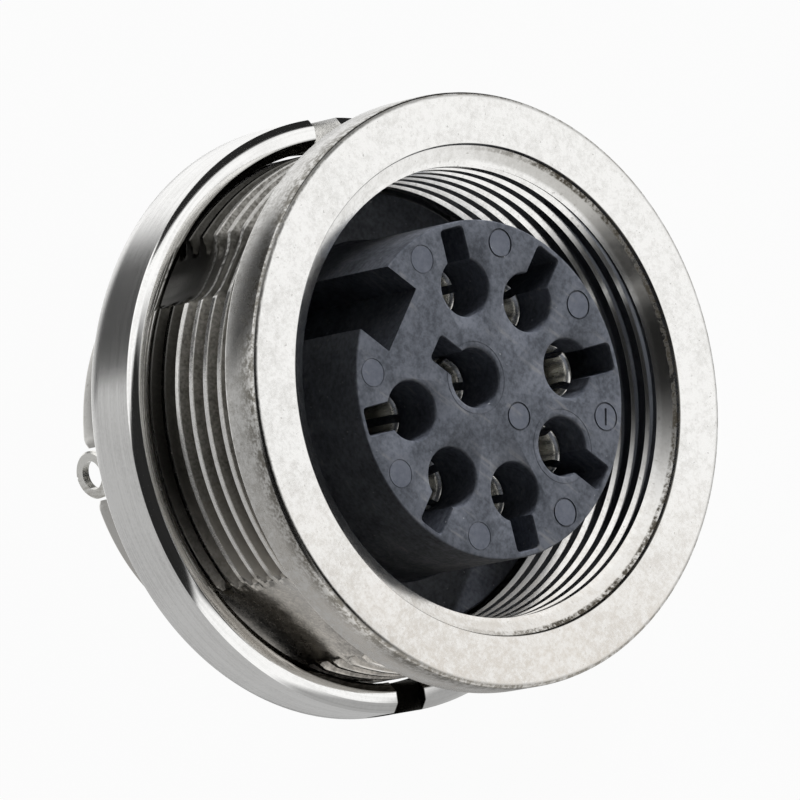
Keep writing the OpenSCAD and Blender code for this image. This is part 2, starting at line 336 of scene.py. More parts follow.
    # specks of dirt along both front edges
    speck = spread(tree, dots, 0.40, 0.54, 0.25, s["edgeDirt"])
    onFace = spreadMm(tree, along, s["faceY"])
    onLeft = times(tree, onFace, spreadMm(tree, rightward, s["leftFrom"], 0.45, 1.0))
    for (at, half), where in ((s["innerEdge"], onFace), (s["outerEdge"], onLeft)):
        off = calc(tree, "ABSOLUTE", calc(tree, "SUBTRACT", radius, at * mm))
        dirt = times(tree, spreadMm(tree, off, (0.3 * half, half), 1.0, 0.0), where, speck)
        base = mixColour(tree, dirt, base, s["oilAndShade"])
    tree.links.new(base, surface.inputs["Base Color"])
    surface.inputs["Metallic"].default_value = 1
    rough = spread(tree, tone, 0.35, 0.62, s["roughHigh"], s["roughLow"])
    rough = calc(tree, "MAXIMUM", rough, calc(tree, "MULTIPLY", filmAndShade, s["filmRough"]))
    inBore = times(tree, inside, spreadMm(tree, along, s["boreY"]))
    rough = times(tree, rough, spread(tree, inBore, 0.0, 1.0, 1.0, s["boreRough"] / s["roughHigh"]))
    rough = calc(tree, "MAXIMUM", rough, calc(tree, "MULTIPLY", band, s["dirtRough"]))
    tree.links.new(rough, surface.inputs["Roughness"])
    strength = spread(tree, inBore, 0.0, 1.0, s["bump"], s["boreBump"])
    bump = put(tree, "Bump", Strength=strength, Distance=s["bumpDepth"] * mm, Height=tone)
    tree.links.new(bump, surface.inputs["Normal"])
    return mat


# nickel on the nut: lathe lines run round the rim; the bore is darkened with oil and painted shade, and the
# lower slot with painted shade

nutNickel = dict(dark=(0.83, 0.825, 0.81), pale=(0.985, 0.98, 0.965), lineScale=15000, wind=0.00010,
                 grainScale=9000, cloudScale=600, oilAndShade=(0.045, 0.043, 0.033), inBore=0.85, boreR=(9.46, 9.38),
                 inSlots=0.9, slotSide=(-0.616, 0.788), slotHalf=(0.64, 0.61), slotY=(6.66, 6.61),
                 lowSide=(-0.788, -0.616), lowFrom=(0, 5), bevelY=(5.10, 5.05), bevelRough=0.4,
                 roughLow=0.14, roughHigh=0.26, bump=0.26, bumpDepth=0.005)


def makeNutNickel(s):
    mat, tree, surface = newFinish("nutNickel")
    place = put(tree, "TexCoord", outlet=3)
    lines = grain(tree, turnedPlace(tree, place, s["wind"]), s["lineScale"], 3, 0.6)
    fine = grain(tree, place, s["grainScale"], 3, 0.6)
    cloud = grain(tree, place, s["cloudScale"], 3, 0.5)
    tone = blendOf(tree, (lines, 0.5), (fine, 0.25), (cloud, 0.25))
    base = ramp(tree, tone, [(0.38, s["dark"]), (0.54, s["pale"])])
    sides = put(tree, "SeparateXYZ", Vector=place).node.outputs
    along = sides[1]
    radius = put(tree, "SeparateXYZ", Vector=turnedPlace(tree, place, 0.0))
    # oil and painted shade in the bore, painted shade in the lower slot
    inBore = spreadMm(tree, radius, s["boreR"], 0.0, s["inBore"])
    aside = calc(tree, "ABSOLUTE", towards(tree, sides, s["slotSide"]))
    inSlot = times(tree, spreadMm(tree, aside, s["slotHalf"], 0.0, s["inSlots"]),
                   spreadMm(tree, along, s["slotY"]),
                   spreadMm(tree, towards(tree, sides, s["lowSide"]), s["lowFrom"]))
    base = mixColour(tree, calc(tree, "MAXIMUM", inBore, inSlot), base, s["oilAndShade"])
    tree.links.new(base, surface.inputs["Base Color"])
    surface.inputs["Metallic"].default_value = 1
    rough = spread(tree, tone, 0.35, 0.65, s["roughHigh"], s["roughLow"])
    polish = spreadMm(tree, along, s["bevelY"], 1.0, s["bevelRough"])
    tree.links.new(times(tree, rough, polish), surface.inputs["Roughness"])
    height = blendOf(tree, (lines, 0.8), (fine, 0.2))
    bump = put(tree, "Bump", Strength=s["bump"], Distance=s["bumpDepth"] * mm, Height=height)
    tree.links.new(bump, surface.inputs["Normal"])
    return mat


# moulded plastic: mottled, with faint scuffs and a little bright dust

carrierPlastic = dict(dark=(0.038, 0.043, 0.055), pale=(0.106, 0.115, 0.140),
                      grainScale=6500, cloudScale=1100,
                      dust=(0.30, 0.31, 0.33), dustScale=7500, dustFrom=0.765,
                      scuff=(0.20, 0.20, 0.205), scuffScale=5200, scuffShare=0.6, scuffTurn=0.7,
                      sheen=0.70, sheenTint=(0.92, 0.96, 1.0, 1.0),
                      roughLow=0.40, roughHigh=0.58, bump=0.3, bumpDepth=0.008)
discPlastic = dict(carrierPlastic, dark=(0.080, 0.089, 0.114), pale=(0.112, 0.122, 0.152),
                   dustFrom=0.9, bump=0.10)
rearPlastic = dict(carrierPlastic, dark=(0.034, 0.035, 0.038), pale=(0.060, 0.062, 0.067),
                   dust=(0.15, 0.15, 0.16))


def makePlastic(name, s):
    mat, tree, surface = newFinish(name)
    place = put(tree, "TexCoord", outlet=3)
    fine = grain(tree, place, s["grainScale"], 4, 0.6)
    cloud = grain(tree, place, s["cloudScale"], 3, 0.5)
    tone = blendOf(tree, (fine, 0.6), (cloud, 0.4))
    base = ramp(tree, tone, [(0.38, s["dark"]), (0.60, s["pale"])])
    streak = put(tree, "Mapping", Vector=place, Rotation=(0.0, s["scuffTurn"], 0.0), Scale=(1.0, 1.0, 0.1))
    scuff = times(tree, spread(tree, grain(tree, streak, s["scuffScale"], 2, 0.5), 0.58, 0.70),
                  spread(tree, cloud, 0.48, 0.62, 0.0, s["scuffShare"]))
    base = mixColour(tree, scuff, base, s["scuff"])
    dust = grain(tree, place, s["dustScale"], 1, 0.4)
    dust = spread(tree, dust, s["dustFrom"], s["dustFrom"] + 0.04)
    tree.links.new(mixColour(tree, dust, base, s["dust"]), surface.inputs["Base Color"])
    surface.inputs["Specular IOR Level"].default_value = s["sheen"]
    surface.inputs["Specular Tint"].default_value = s["sheenTint"]
    rough = spread(tree, tone, 0.35, 0.65, s["roughHigh"], s["roughLow"])
    tree.links.new(rough, surface.inputs["Roughness"])
    bump = put(tree, "Bump", Strength=s["bump"], Distance=s["bumpDepth"] * mm, Height=fine)
    tree.links.new(bump, surface.inputs["Normal"])
    return mat


# silver plating on the contacts: drawn lines along the axis and a little tarnish

contactSilver = dict(dark=(0.50, 0.48, 0.43), pale=(0.92, 0.91, 0.87), lineScale=9000, tarnishScale=800,
                     roughLow=0.18, roughHigh=0.32, bump=0.2, bumpDepth=0.005)


def makeContactSilver(s):
    mat, tree, surface = newFinish("contactSilver")
    place = put(tree, "TexCoord", outlet=3)
    drawn = put(tree, "Mapping", Vector=place, Scale=(1.0, 0.12, 1.0))
    lines = grain(tree, drawn, s["lineScale"], 3, 0.55)
    tarnish = grain(tree, place, s["tarnishScale"], 4, 0.6)
    tone = blendOf(tree, (lines, 0.45), (tarnish, 0.55))
    tree.links.new(ramp(tree, tone, [(0.34, s["dark"]), (0.5, s["pale"])]), surface.inputs["Base Color"])
    surface.inputs["Metallic"].default_value = 1
    rough = spread(tree, tone, 0.3, 0.7, s["roughHigh"], s["roughLow"])
    tree.links.new(rough, surface.inputs["Roughness"])
    bump = put(tree, "Bump", Strength=s["bump"], Distance=s["bumpDepth"] * mm, Height=lines)
    tree.links.new(bump, surface.inputs["Normal"])
    return mat


# thread form shared by shell and nut

def threadHeight(turn, crest, root):
    # 1 on the crest, 0 in the root, straight flanks between; turn counts pitches from a crest
    off = np.abs(turn - np.round(turn))
    return np.clip((root - off) / (root - crest), 0, 1)


def threadRows(yStart, yEnd, pitch, crestY, angles, marks):
    # rows that keep to the crests and roots as they wind round, cut off at both ends
    winding = crestY - pitch * angles / 360
    low = (yStart - winding) / pitch
    high = (yEnd - winding) / pitch
    whole = range(int(np.floor(low.min())) - 1, int(np.ceil(high.max())) + 2)
    turns = [k + m for k in whole for m in marks if low.min() - 0.2 < k + m < high.max() + 0.2]
    return [winding + pitch * np.clip(t, low, high) for t in turns]


def slotWallAngle(half, radius):
    return math.degrees(math.asin(half / radius))


def columnsWithSlots(centres, half, outerR, innerR, extra=()):
    # one column a degree, with a column on each slot wall in place of its near neighbours
    middle = 0.5 * (slotWallAngle(half, outerR) + slotWallAngle(half, innerR))
    walls = [(c, side) for c in centres for side in (-1, 1)]
    plain = set(np.arange(-180, 180.01, 1.0).round(4)) | set(extra)
    near = {a for a in plain for c, side in walls if abs(a - (c + side * middle)) < 0.75}
    onWall = {c + side * slotWallAngle(half, outerR): (c, side) for c, side in walls}
    angles = np.array(sorted((plain - near) | set(onWall)))
    wallAt = {int(np.argmin(np.abs(angles - a))): wall for a, wall in onWall.items()}

    def atRadius(r):  # slot walls stand parallel, so their columns turn a little with the radius
        moved = angles.copy()
        for i, (c, side) in wallAt.items():
            moved[i] = c + side * slotWallAngle(half, min(max(r, innerR), outerR))
        return moved

    starts = sorted(wallAt)
    ends = [0, *starts, len(angles) - 1]
    spans = [slice(i, k + 1) for i, k in zip(ends[:-1], ends[1:])]
    inSlot = [wallAt.get(cols.start, (0, 1))[1] < 0 for cols in spans]
    return angles, atRadius, starts, list(zip(spans, inSlot))


# shell: flange, both threads, flats, keyway groove and notched sleeve in one skin

shellSize = dict(flangeR=10.0, flangeFront=-1.6, flangeEdge=0.16, faceLoopR=9.3, mouthR=8.25,
                 rearEdge=((0.0, -0.14), (0.03, -0.05), (0.1, 0.0)),
                 crestR=8.95, rootR=8.53, threadEnd=8.0, endChamfer=0.35, pitch=0.75,
                 crestAt=3.87, crestAngle=21.0, runOut=(0.35, 0.8), flatX=8.57,
                 crestFlat=0.11, rootFlat=0.40, flatRun=0.12,
                 marks=(-0.40, -0.26, -0.14, -0.11, -0.08, 0.08, 0.11, 0.14, 0.26, 0.40, 0.5),
                 grooveAt=0.85, grooveHalf=8.85, grooveFloor=8.3, grooveFull=6.3, grooveCutter=18.0,
                 mouthStep=(8.215, 0.13), coneSlope=28, boreFadeIn=0.16, boreCrest=0.24, boreRoot=0.46,
                 boreMarks=(-0.46, -0.36, -0.27, -0.24, -0.12, 0.12, 0.24, 0.27, 0.36, 0.46, 0.5),
                 boreR=7.6, boreRootR=7.88, boreEnd=5.4, boreCrestAt=0.05, boreThreadEnd=4.7, boreFadeOut=0.5,
                 stepR=6.0, stepEnd=6.6, sleeveR=7.25, sleeveBoreR=6.35, sleeveEnd=11.3, sleeveEdge=0.15,
                 sleeveFillet=0.08, sleeveLead=0.08,
                 notchFloor=9.5, notchHalf=0.9, notchAngles=(-136.5, -46.5, 43.5, 133.5),
                 notchCorner=(0.2, 3.0))


def makeShell(s):
    flatEdge = math.degrees(math.asin(s["flatX"] / s["crestR"]))
    extra = [side * a for side in (-1, 1) for a in (flatEdge, 180 - flatEdge)]
    extra += list(s["grooveAt"] + s["grooveHalf"] * np.linspace(-1, 1, 25))
    outerR = s["sleeveR"]
    innerR = s["sleeveBoreR"]
    columns = columnsWithSlots(s["notchAngles"], s["notchHalf"], outerR, innerR, extra)
    angles, atRadius, starts, spans = columns
    flat = s["flatX"] / np.maximum(np.abs(np.sin(np.radians(angles))), 1e-6)
    depth = s["crestR"] - s["rootR"]
    onFlat = np.clip((s["crestR"] - flat) / s["flatRun"], 0, 1)  # the thread runs out at the flats

    def barrelR(y):
        turn = (y - s["crestAt"]) / s["pitch"] + (angles - s["crestAngle"]) / 360
        height = threadHeight(turn, s["crestFlat"], s["rootFlat"])
        r = s["rootR"] + depth * np.maximum(height, onFlat)
        started = np.clip((y - s["runOut"][0]) / (s["runOut"][1] - s["runOut"][0]), 0, 1)
        r = np.maximum(r, s["crestR"] - depth * started)
        r = np.minimum(r, s["crestR"] - np.maximum(0, s["endChamfer"] - (s["threadEnd"] - y)))
        r = np.minimum(r, flat)
        short = np.maximum(0, s["grooveFull"] - y)
        rise = s["grooveCutter"] - np.sqrt(np.maximum(s["grooveCutter"] ** 2 - short ** 2, 0.01))
        across = np.minimum(np.abs(angles - s["grooveAt"]) / s["grooveHalf"], 1)
        deep = np.maximum(s["crestR"] - s["grooveFloor"] - rise, 0)
        return np.minimum(r, np.where(across < 1, s["crestR"] - deep * (1 - across ** 3), r))

    stepR, stepDeep = s["mouthStep"]
    stepY = s["flangeFront"] + stepDeep
    coneEnd = stepY + (stepR - s["boreR"]) * math.tan(math.radians(s["coneSlope"]))

    def boreR(y):
        turn = (y - s["boreCrestAt"]) / s["pitch"] + angles / 360
        height = threadHeight(turn, s["boreCrest"], s["boreRoot"])
        fadeIn = np.clip((y - coneEnd) / s["boreFadeIn"], 0, 1)
        fadeOut = np.clip((s["boreThreadEnd"] - y) / s["boreFadeOut"], 0, 1)
        return s["boreR"] + (s["boreRootR"] - s["boreR"]) * (1 - height) * fadeIn * fadeOut

    skin = newSkin()
    front = s["flangeFront"]
    rim = s["flangeR"]
    b = s["flangeEdge"]
    mouth = s["mouthR"]
    profile = [(s["boreR"], coneEnd), (stepR, stepY), (mouth - 0.01, front + 0.03), (mouth + 0.01, front),
               (s["faceLoopR"], front), (rim - b, front)]
    profile += [(rim - b + b * math.sin(t), front + b - b * math.cos(t)) for t in (0.25, 0.5, 0.8, 1.05, 1.3)]
    profile += [(rim, front + b)] + [(rim - inset, y) for inset, y in s["rearEdge"]]
    revolve(skin, profile, angles)
    addGrid(skin, [around(profile[-1][0], angles, 0.0), around(barrelR(0.0), angles, 0.0)])
    crestY = s["crestAt"] + s["pitch"] * s["crestAngle"] / 360
    rows = threadRows(0.0, s["threadEnd"], s["pitch"], crestY, angles, s["marks"])
    addGrid(skin, [around(barrelR(y), angles, y) for y in rows])
    endFace = [around(barrelR(s["threadEnd"]), angles, s["threadEnd"]),
               around(outerR + s["sleeveFillet"], angles, s["threadEnd"]),
               around(outerR, atRadius(outerR), s["threadEnd"] + s["sleeveFillet"]),
               around(outerR, atRadius(outerR), s["notchFloor"])]
    addGrid(skin, endFace)
    rows = threadRows(coneEnd, s["boreEnd"], s["pitch"], s["boreCrestAt"], angles, s["boreMarks"])
    addGrid(skin, [around(boreR(y), angles, y) for y in rows])

    # the sleeve stands as four arcs above the notch floors
    floorY = s["notchFloor"]
    endY = s["sleeveEnd"]
    e = s["sleeveEdge"]
    lip = [(outerR, floorY), (outerR, endY - e), (outerR - 0.3 * e, endY - 0.3 * e), (outerR - e, endY),
           (innerR + s["sleeveLead"], endY), (innerR, endY - s["sleeveLead"]), (innerR, floorY)]
    drop, reach = s["notchCorner"]
    off = np.min([np.abs(angles - c) for c in s["notchAngles"]], axis=0)
    off = off - slotWallAngle(s["notchHalf"], outerR)
    corner = drop * np.clip(1 - off / reach, 0, 1) ** 2

    def lipAt(y):  # the sleeve's end falls away towards the notches
        return y - corner * (y > floorY)

    for cols, inSlot in spans:
        path = [lip[0], lip[-1]] if inSlot else lip
        addGrid(skin, [around(r, atRadius(r)[cols], lipAt(y)[cols]) for r, y in path])
    for i in starts:
        addFace(skin, [around(r, atRadius(r)[i], lipAt(y)[i]) for r, y in lip])
    inside = [(innerR, floorY), (innerR, s["stepEnd"]), (s["stepR"], s["stepEnd"]),
              (s["stepR"], s["boreEnd"]), (s["boreR"], s["boreEnd"])]
    addGrid(skin, [around(r, atRadius(r), y) for r, y in inside])
    piece = toPiece("shellTurned", skin)
    piece.data.materials.append(makeShellNickel(shellNickel))
    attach(piece, "receptacle")
    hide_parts("shell")
    return piece


shell = makeShell(shellSize)
print("shell made:", len(shell.data.polygons), "faces")


# ring nut with its two spanner slots

nutSize = dict(rimR=10.1, front=4.8, rear=7.05, bevelAcross=0.28, bevelDeep=0.28, rearEdge=0.06,
               boreR=9.05, lead=0.35, rootR=9.34, pitch=0.75, crestFlat=0.1, rootFlat=0.45,
               rearRows=12, frontRows=35,
               slotHalf=0.6, slotFloor=6.6, slotAngles=(-52.0, 128.0), plainBy=(4.5, 7.5))


def makeNut(s):
    rim = s["rimR"]
    bore = s["boreR"]
    front = s["front"]
    rear = s["rear"]
    floorY = s["slotFloor"]
    angles, atRadius, starts, spans = columnsWithSlots(s["slotAngles"], s["slotHalf"], rim, bore)
    off = np.min([np.abs(angles - c) for c in s["slotAngles"]], axis=0)
    first, last = s["plainBy"]
    cutFull = np.clip((off - first) / (last - first), 0, 1)  # the thread fades out beside the slots

    def boreAt(y):
        turn = y / s["pitch"] + angles / 360
        height = threadHeight(turn, s["crestFlat"], s["rootFlat"])
        r = bore + (s["rootR"] - bore) * (1 - height) * cutFull
        return np.maximum(r, bore + s["lead"] - min(y - front, rear - y))

    def row(r, y):
        return around(r, atRadius(float(np.mean(r))), y)

    b = s["bevelAcross"]
    d = s["bevelDeep"]
    e = s["rearEdge"]
    rearPart = [row(rim, floorY), row(rim, rear - e), row(rim - 0.3 * e, rear - 0.3 * e),
                row(rim - e, rear), row(bore + s["lead"], rear)]
    rearPart += [row(boreAt(y), y) for y in np.linspace(rear - 0.001, floorY, s["rearRows"])]
    frontPart = [row(boreAt(y), y) for y in np.linspace(floorY, front + 0.001, s["frontRows"])]
    frontPart += [row(bore + s["lead"], front), row(rim - b - 0.04, front), row(rim - b, front + 0.02),
                  row(rim - 0.04, front + 0.8 * d), row(rim, front + d), row(rim, floorY)]
    skin = newSkin()
    addGrid(skin, rearPart)
    for cols, inSlot in spans:
        rows = [rearPart[-1], rearPart[0]] if inSlot else frontPart
        addGrid(skin, [r[cols] for r in rows])
    for i in starts:
        addFace(skin, [r[i] for r in frontPart])
    piece = toPiece("ringNutTurned", skin)
    piece.data.materials.append(makeNutNickel(nutNickel))
    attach(piece, "nut")
    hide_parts("ring_nut")
    return piece


nut = makeNut(nutSize)
print("ring nut made:", len(nut.data.polygons), "faces")


# carrier: nose with keyhole openings, key slot and moulded discs, and the foot in the bore

carrierSize = dict(noseR=5.7, front=-1.6, edge=0.06, footFront=4.2, footR=7.48, footEdge=0.08, footEnd=5.4,
                   footFillet=0.12, neckR=5.9, neckEnd=6.6, holeR=1.0, throughR=0.985, mouth=0.07, pitchR=3.5,
                   slotHalf=0.475, slotEnd=5.5, slotFloor=2.9, slotCorner=0.14,
                   middleAt=0.7, middleSlotEnd=2.6, keyHalf=1.25, keyFloor=4.2, keyEnd=4.05,
                   discR=0.47, discAt=5.0, middleDisc=(175, 1.46, 0.46),
                   strongLine=(0.030, 0.05), weakLine=(0.014, 0.018),
                   strongDiscs=(-67.5, -112, -157.4, 157.4), weakDiscs=(-27, 27, 67.5, 112),
                   barDisc=-157.4, barHalf=(0.045, 0.29), barDeep=0.05, barAlong=(0.888, 0.459),
                   witness=((0, 0.7, 1.22), (180, 3.5, 1.25)), witnessLine=(0.012, 0.012))
contactAngles = (-45, -90, -135, 180, 135, 90, 45)


def keyholeOutline(s, slotLength, grow):
    r = s["holeR"] + grow
    w = s["slotHalf"] + 0.5 * grow
    end = slotLength + 0.5 * grow
    c = s["slotCorner"]
    gap = math.asin(w / r)
    points = [(r * math.cos(t), r * math.sin(t)) for t in np.linspace(gap, 2 * math.pi - gap, 45)]
    points += [(end - c, -w), (end - 0.3 * c, -w + 0.3 * c), (end, -w + c)]
    points += [(end, w - c), (end - 0.3 * c, w - 0.3 * c), (end - c, w)]
    return np.array(points)


def contactPlaces(s):
    # angle, distance from the axis and slot length of each opening
    ring = [(a, s["pitchR"], s["slotEnd"] - s["pitchR"]) for a in contactAngles]
    return ring + [(0, s["middleAt"], s["middleSlotEnd"] - s["middleAt"])]


def makeCarrier(s):
    front = s["front"]
    nose = s["noseR"]
    foot = s["footFront"]
    fillet = s["footFillet"]
    e = s["edge"]
    profile = [(0.0, front), (nose - e, front)]
    profile += [(nose - e + e * math.sin(t), front + e - e * math.cos(t)) for t in (0.4, 0.8, 1.2)]
    profile += [(nose, front + e), (nose, foot - fillet), (nose + fillet, foot),
                (s["footR"] - s["footEdge"], foot), (s["footR"], foot + s["footEdge"]),
                (s["footR"], s["footEnd"]), (s["neckR"], s["footEnd"]), (s["neckR"], s["neckEnd"]),
                (0.0, s["neckEnd"])]
    skin = newSkin()
    revolve(skin, profile, np.linspace(-180, 180, 193))
    piece = toPiece("carrierMoulded", skin)

    w = s["keyHalf"]
    low = s["keyFloor"]
    keySlot = np.array([(low, -w), (nose + 1.0, -w), (nose + 1.0, w), (low, w)])
    key = newSkin()
    addPrism(key, [fromAxis(keySlot, 0, 0, y) for y in (front - 0.5, s["keyEnd"])])
    cutAway(piece, "keySlot", key)

    turn = np.linspace(0, 2 * math.pi, 49)[:-1]
    circle = np.stack([np.cos(turn), np.sin(turn)], -1)
    m = s["mouth"]
    levels = [(front - 0.25, m + 0.1), (front - 0.001, m), (front + 0.35 * m, 0.42 * m),
              (front + 1.1 * m, 0.0), (s["slotFloor"], 0.0)]
    through = newSkin()
    keyholes = newSkin()
    for a, out, length in contactPlaces(s):
        addPrism(through, [fromAxis(circle * s["throughR"], a, out, y) for y in (-0.5, s["neckEnd"] + 0.4)])
        addPrism(keyholes, [fromAxis(keyholeOutline(s, length, grow), a, out, y) for y, grow in levels])
    cutAway(piece, "throughHoles", through)
    cutAway(piece, "keyholes", keyholes)

    strong = [(a, s["discAt"], s["discR"]) for a in s["strongDiscs"]] + [s["middleDisc"]]
    weak = [(a, s["discAt"], s["discR"]) for a in s["weakDiscs"]]
    discs = strong + weak
    lines = newSkin()
    top = front - 0.1
    floor = front + s["barDeep"]
    rings = [(*disc, *s["strongLine"]) for disc in strong] + [(*disc, *s["weakLine"]) for disc in weak]
    rings += [(*ring, *s["witnessLine"]) for ring in s["witness"]]
    for a, out, r, half, deep in rings:
        low = front + deep
        big = circle * (r + half)
        small = circle * (r - half)
        ring = ((big, top), (big, low), (small, low), (small, top), (big, top))
        addGrid(lines, [fromAxis(points, a, out, y) for points, y in ring], wrap=True)
    cutAway(piece, "discLines", lines)

    bar = newSkin()
    across, tall = s["barHalf"]
    a = math.radians(s["barDisc"])
    centre = np.array([-s["discAt"] * math.sin(a), s["discAt"] * math.cos(a)])
    along = np.array(s["barAlong"])
    side = np.array((-along[1], along[0]))
    ends = [centre + i * tall * along + k * across * side for i, k in ((-1, -1), (-1, 1), (1, 1), (1, -1))]
    addPrism(bar, [np.array([(x, y, z) for x, z in ends]) * mm for y in (top, floor)])
    cutAway(piece, "discBar", bar)

    smooth(piece, 35)
    mesh = piece.data
    mesh.materials.clear()
    mesh.materials.append(makePlastic("carrierPlastic", carrierPlastic))
    mesh.materials.append(makePlastic("discPlastic", discPlastic))
    spots = [(around(out, a, front), r) for a, out, r in discs]
    for face in mesh.polygons:
        isFront = face.center.y < (front + 0.002) * mm
        onDisc = any((face.center - Vector(spot)).length < r * mm for spot, r in spots)
        face.material_index = int(isFront and onDisc)
    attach(piece, "receptacle")
    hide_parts("contact_carrier")
    return piece


carrier = makeCarrier(carrierSize)
print("carrier made:", len(carrier.data.polygons), "faces")


# contacts: four sprung fingers, a trapped collar and a flat tag with its eyelet

contactSize = dict(fingerR=0.94, boreR=0.74, boreTip=0.3, lead=0.22,
                   tipAt=(0.1, -0.1, -0.7, -0.38, 0.07, 0.08, 0.2, 0.15),
                   turns=(0, 73, 44, 2, 76, 69, 76, 30), slitHalf=0.14, slitLength=2.9, boreLength=4.4,
                   collarFront=6.6, collarR=1.2, collarRear=7.4, shankR=0.8, shankEnd=11.2, shankEdge=0.12,
                   tagHalf=0.6, tagThick=0.28, tagFrom=10.5, tagEdge=0.06,
                   eyeAt=15.65, eyeR=0.83, eyeHoleR=0.5)


def makeContact(s, i, angle, out, finish):
    tip = s["tipAt"][i]
    floorY = tip + s["slitLength"]
    outer = s["fingerR"]
    inner = s["boreR"]
    skin = newSkin()

    def at(r, turns, y):
        ring = np.stack([r * np.cos(np.radians(turns)), r * np.sin(np.radians(turns))], -1)
        return fromAxis(ring, angle, out, y)

    lip = [(outer, floorY), (outer, tip + 0.09), (outer - 0.02, tip + 0.03), (outer - 0.05, tip),
           (outer - 0.08, tip + 0.02), (inner, tip + s["lead"]), (inner, floorY)]
    centres = [s["turns"][i] + 90 * k for k in range(4)]

    def fingerTurns(r, k):  # columns of one finger between two parallel-walled slits
        wall = slotWallAngle(s["slitHalf"], r)
        return np.linspace(centres[k] + wall, centres[k] + 90 - wall, 13)

    def slitTurns(r, k):  # the two walls of the slit in front of a finger
        wall = slotWallAngle(s["slitHalf"], r)
        return np.array([centres[k] - wall, centres[k] + wall])

    def wholeTurn(r):
        fingers = [fingerTurns(r, k) for k in range(4)]
        return np.concatenate(fingers + [fingers[0][:1] + 360])

    for k in range(4):
        addGrid(skin, [at(r, fingerTurns(r, k), y) for r, y in lip])
        for end in (0, -1):
            addFace(skin, [at(r, fingerTurns(r, k)[end], y) for r, y in lip])
        addGrid(skin, [at(r, slitTurns(r, k), floorY) for r in (outer, inner)])
    bottom = tip + s["boreLength"]
    socket = [at(inner, wholeTurn(inner), floorY), at(inner, wholeTurn(inner), bottom)]
    addGrid(skin, socket + [at(1e-5, wholeTurn(inner), bottom + s["boreTip"])])
    body = [(outer, floorY), (outer, s["collarFront"]), (s["collarR"], s["collarFront"]),
            (s["collarR"], s["collarRear"]), (s["shankR"], s["collarRear"]),
            (s["shankR"], s["shankEnd"] - s["shankEdge"]), (s["shankR"] - s["shankEdge"], s["shankEnd"]),
            (1e-5, s["shankEnd"])]
    addGrid(skin, [at(r, wholeTurn(outer), y) for r, y in body])

    # flat tag: one half outline, then its mirror image, around the eyelet's hole
    shoulder = math.asin(s["tagHalf"] / s["eyeR"])

    def arc(r, first, last):
        steps = np.linspace(first, last, 19)
        return [(r * math.sin(t), s["eyeAt"] - r * math.cos(t)) for t in steps]

    outerArc = arc(s["eyeR"], shoulder, math.pi)
    holeArc = arc(s["eyeHoleR"], math.pi, 0)
    half = [(0.0, s["tagFrom"]), (s["tagHalf"], s["tagFrom"]), *outerArc, *holeArc]
    t = s["tagThick"] / 2
    e = s["tagEdge"]
    inset = [(max(x - e, 0.0) if k < 2 + len(outerArc) else x, y) for k, (x, y) in enumerate(half)]
    inset = [(x, y - e if k == 1 + len(outerArc) else y) for k, (x, y) in enumerate(inset)]
    for side in (-1, 1):
        levels = []
        for outline, depth in ((inset, -t), (half, -t + e), (half, t - e), (inset, t)):
            xy = np.array(outline)
            points = np.stack([np.full(len(xy), depth), side * xy[:, 0]], -1)
            levels.append(fromAxis(points, angle, out, xy[:, 1]))
        edges = [level[1:] for level in levels]  # the middle line stays open, to join the mirror image
        addGrid(skin, edges)
        addFace(skin, levels[0])
        addFace(skin, levels[-1])
    piece = toPiece("contactTurned" + str(i + 1), skin, sharpAngle=40)
    piece.data.materials.append(finish)
    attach(piece, "receptacle")
    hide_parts("contact_" + str(i + 1))
    return piece


silver = makeContactSilver(contactSilver)
places = contactPlaces(carrierSize)
contacts = [makeContact(contactSize, i, a, out, silver) for i, (a, out, length) in enumerate(places)]
print("contacts made:", len(contacts), "with", len(contacts[0].data.polygons), "faces each")


# the rear insulator keeps its CAD shape

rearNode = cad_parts["rear_insulator"]
rearNode.data.materials.clear()
rearNode.data.materials.append(makePlastic("rearPlastic", rearPlastic))
print("rear insulator finished")


# studio: white floor and world, two soft lamps, and curved flags that only the metal mirrors
# a flag's turn runs from the front (-Y) towards +X and its rise from the horizon, in degrees;
# a leaning flag turns by that share of its height; lamps are sized and placed in metres

studio = dict(floorZ=-10.1, floorHold=0.96, floorTone=0.92, world=0.03,
              flagReach=300, flagLift=0.1, shadeLift=0.05,
              lamps=[dict(name="frontRight", power=6.0, size=(0.36, 0.03), at=(0.545, -0.255, 0.008)),
                     dict(name="upperRight", power=0.8, size=(0.4, 0.4), at=(0.40, -0.06, 0.26))],
              flags=[dict(name="frontDark", turn=(-140, 27), rise=(-4, 52), soft=(25, 32, 5, 6), tone=0.02),
                     dict(name="frontLow", turn=(-55, 0), rise=(-30, -1), soft=(16, 12, 12, 4), tone=0.04),
                     dict(name="rightDark", turn=(86, 130), rise=(-14, 62), lean=-0.65,
                          soft=(6, 10, 6, 6), tone=0.02),
                     dict(name="rearDark", turn=(140, 195), rise=(9, 62), soft=(12, 10, 24, 6), tone=0.05),
                     dict(name="rearGrey", turn=(186, 236), rise=(-65, 48), soft=(8, 10, 15, 10), tone=0.45)],
              shade=dict(x=(-25, 12), y=(-1.5, 32), soft=(8, 6, 2.5, 12), tone=0.36))


def seenDirectly(tree):
    path = put(tree, "LightPath").node.outputs
    mirrored = calc(tree, "MAXIMUM", path["Is Glossy Ray"], path["Is Transmission Ray"])
    return calc(tree, "MAXIMUM", path["Is Camera Ray"], mirrored)


def stagePlate(name, rows):
    skin = newSkin()
    addGrid(skin, rows)
    mesh = bpy.data.meshes.new(name)
    mesh.from_pydata(skin["verts"], [], skin["faces"])
    plate = bpy.data.objects.new(name, mesh)
    bpy.context.scene.collection.objects.link(plate)
    mat = bpy.data.materials.new(name)
    mat.use_nodes = True
    mat.node_tree.nodes.clear()
    mesh.materials.append(mat)
    return plate, mat.node_tree, mat.node_tree.nodes.new("ShaderNodeOutputMaterial")


